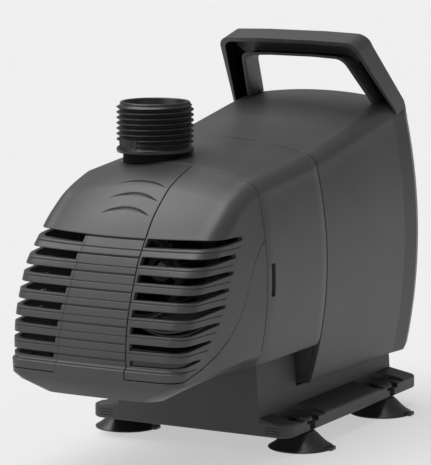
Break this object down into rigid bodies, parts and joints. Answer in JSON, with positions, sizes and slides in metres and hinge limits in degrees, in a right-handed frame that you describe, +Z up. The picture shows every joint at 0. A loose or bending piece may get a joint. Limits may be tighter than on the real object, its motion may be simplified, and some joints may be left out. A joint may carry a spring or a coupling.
{
  "type": "fountain pump",
  "caption": "Submersible fountain pump with a louvred strainer hood, threaded upright outlet, canned motor, leaning carry handle and a stand on suction cups.",
  "frame": {"origin": "centre of the underside of the overall bounding box, on the floor under the suction cups", "axes": "+Z up, -Y the intake side with the strainer hood, +Y the rear with the cable inlet, +X to the right seen from the intake side"},
  "size_m": [0.1196, 0.229, 0.174],
  "materials": {
    "shell": "fine-grained moulded dark grey plastic",
    "stand": "moulded dark grey plastic",
    "fitting": "satin black moulded plastic",
    "chamber": "moulded black plastic",
    "soft": "soft black rubber",
    "seal": "black sealing rubber",
    "wheel": "natural white moulded plastic",
    "magnet": "plastic-bonded ferrite",
    "shaft": "polished white ceramic",
    "steel": "plain steel",
    "winding": "enamelled copper wire"
  },
  "bodies": {
    "base": {"middle_ring": "shell", "motor_shell": "shell", "rear_cover": "shell", "carry_handle": "shell", "stand": "stand", "inlet_body": "fitting", "inlet_nut": "fitting", "pump_chamber": "chamber", "intake_cover": "chamber", "rotor_can": "chamber", "motor_case": "chamber", "foot_front_right": "soft", "foot_front_left": "soft", "foot_rear_right": "soft", "foot_rear_left": "soft", "outlet_seal": "seal", "chamber_seal": "seal", "inlet_seal": "seal", "rotor_shaft": "shaft", "front_bearing": "shaft", "rear_bearing": "shaft", "stator_core": "steel", "cover_screw_1": "steel", "cover_screw_2": "steel", "cover_screw_3": "steel", "cover_screw_4": "steel", "winding_front": "winding", "winding_rear": "winding"},
    "strainer_hood": {"front_hood": "shell", "grille_left": "shell", "grille_right": "shell"},
    "rotor": {"impeller": "wheel", "rotor_magnet": "magnet"},
    "outlet_fitting": {"outlet_nozzle": "fitting"}
  },
  "joints": [
    {"name": "rotor_spin", "type": "hinge", "parent": "base", "child": "rotor", "pos_m": [0, -0.0391, 0.082], "axis": [0, 1, 0], "continuous": true},
    {"name": "hood_pull", "type": "slide", "parent": "base", "child": "strainer_hood", "axis": [0, -1, 0], "range_m": [0, 0.08]},
    {"name": "outlet_lift", "type": "slide", "parent": "base", "child": "outlet_fitting", "axis": [0, 0, 1], "range_m": [0, 0.03]}
  ]
}
